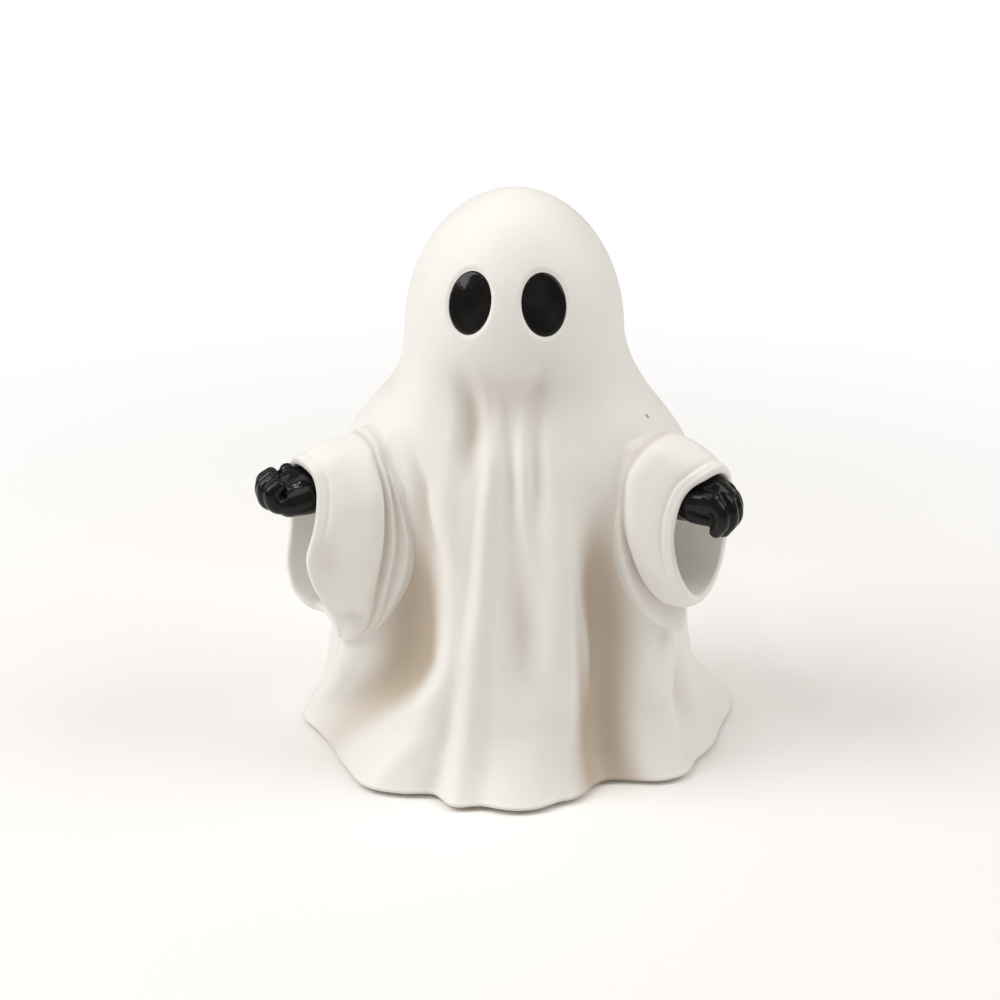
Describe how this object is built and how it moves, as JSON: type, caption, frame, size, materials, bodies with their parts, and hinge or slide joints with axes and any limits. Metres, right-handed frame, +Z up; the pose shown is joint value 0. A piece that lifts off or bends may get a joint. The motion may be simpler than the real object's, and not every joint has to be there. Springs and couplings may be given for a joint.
{
  "type": "ceramic ghost figure",
  "caption": "Standing ceramic ghost in a draped robe with a domed head, hanging sleeves, dark oval eyes and dark curled hands; hollow from below, rests on felt pads.",
  "frame": {"origin": "on the table under the middle of the figure's bounding box, at the underside of the felt pads", "axes": "+Z up; the figure faces -Y; +X towards the figure's own left hand"},
  "size_m": [0.174, 0.149, 0.1998],
  "materials": {
    "white_glaze": "satin off-white glaze",
    "bare_ceramic": "unglazed fired clay",
    "black_glaze": "gloss black glaze",
    "eye_glaze": "gloss black glaze",
    "dowel_wood": "plain turned hardwood",
    "pad_felt": "pressed wool felt"
  },
  "bodies": {
    "root": {"robe_shell": "white_glaze", "left_sleeve": "white_glaze", "right_sleeve": "white_glaze", "left_forearm": "bare_ceramic", "right_forearm": "bare_ceramic", "left_hand": "black_glaze", "right_hand": "black_glaze", "left_hand_dowel": "dowel_wood", "right_hand_dowel": "dowel_wood", "left_eye": "eye_glaze", "right_eye": "eye_glaze", "felt_pad_1": "pad_felt", "felt_pad_2": "pad_felt", "felt_pad_3": "pad_felt", "felt_pad_4": "pad_felt"}
  },
  "joints": []
}
